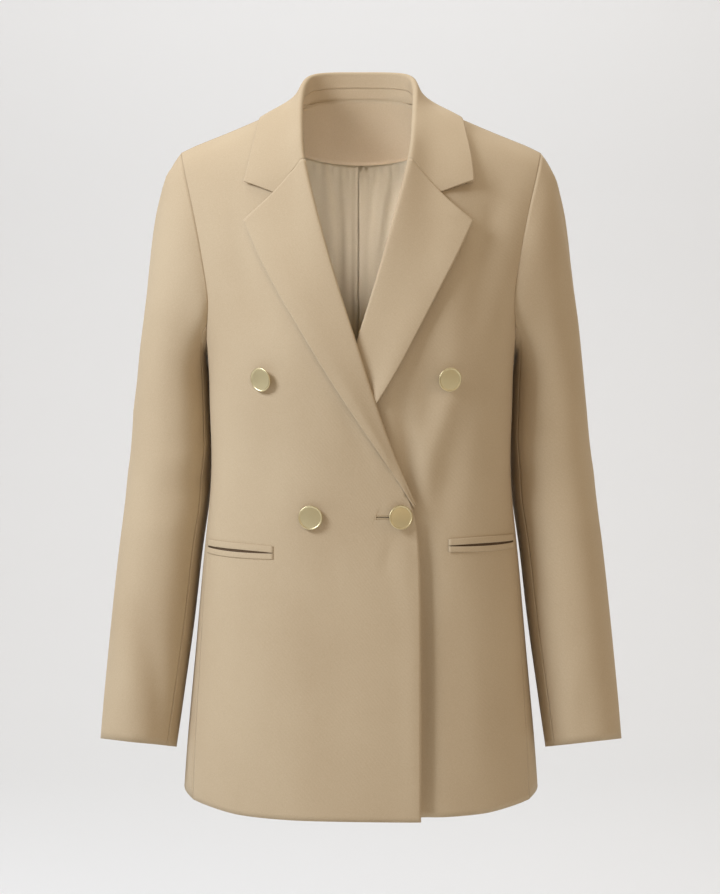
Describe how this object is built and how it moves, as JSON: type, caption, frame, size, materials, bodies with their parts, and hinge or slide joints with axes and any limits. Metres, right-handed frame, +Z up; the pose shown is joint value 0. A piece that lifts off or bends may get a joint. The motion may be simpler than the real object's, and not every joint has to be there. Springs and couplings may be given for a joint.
{
  "type": "double breasted blazer",
  "caption": "Double breasted blazer, worn-shaped and hollow, with notched lapels, long two-piece sleeves, double-welt hip pockets and flat metal buttons.",
  "frame": {"origin": "middle of the wearer's neck base, between the two neck points of the shoulder seams", "axes": "+Z up along the wearer's spine, -Y to the wearer's front, +X to the wearer's left"},
  "size_m": [0.542, 0.2589, 0.7665],
  "materials": {
    "suiting": "plain camel suiting, matt, smooth fine twill",
    "lining": "beige satin lining with a soft sheen",
    "metal": "pale gold, satin, flat with a thin raised rim"
  },
  "bodies": {
    "root": {"front_right": "suiting", "front_left": "suiting", "side_right": "suiting", "side_left": "suiting", "back_right": "suiting", "back_left": "suiting", "sleeve_right_upper": "suiting", "sleeve_right_under": "suiting", "sleeve_left_upper": "suiting", "sleeve_left_under": "suiting", "lapel_right": "suiting", "lapel_left": "suiting", "collar": "suiting", "collar_stand": "suiting", "neck_facing": "suiting", "lining_right": "lining", "lining_left": "lining", "pocket_right_upper_welt": "suiting", "pocket_right_lower_welt": "suiting", "pocket_left_upper_welt": "suiting", "pocket_left_lower_welt": "suiting", "button_upper_right": "metal", "button_upper_left": "metal", "button_lower_right": "metal", "button_fastened": "metal"}
  },
  "joints": []
}
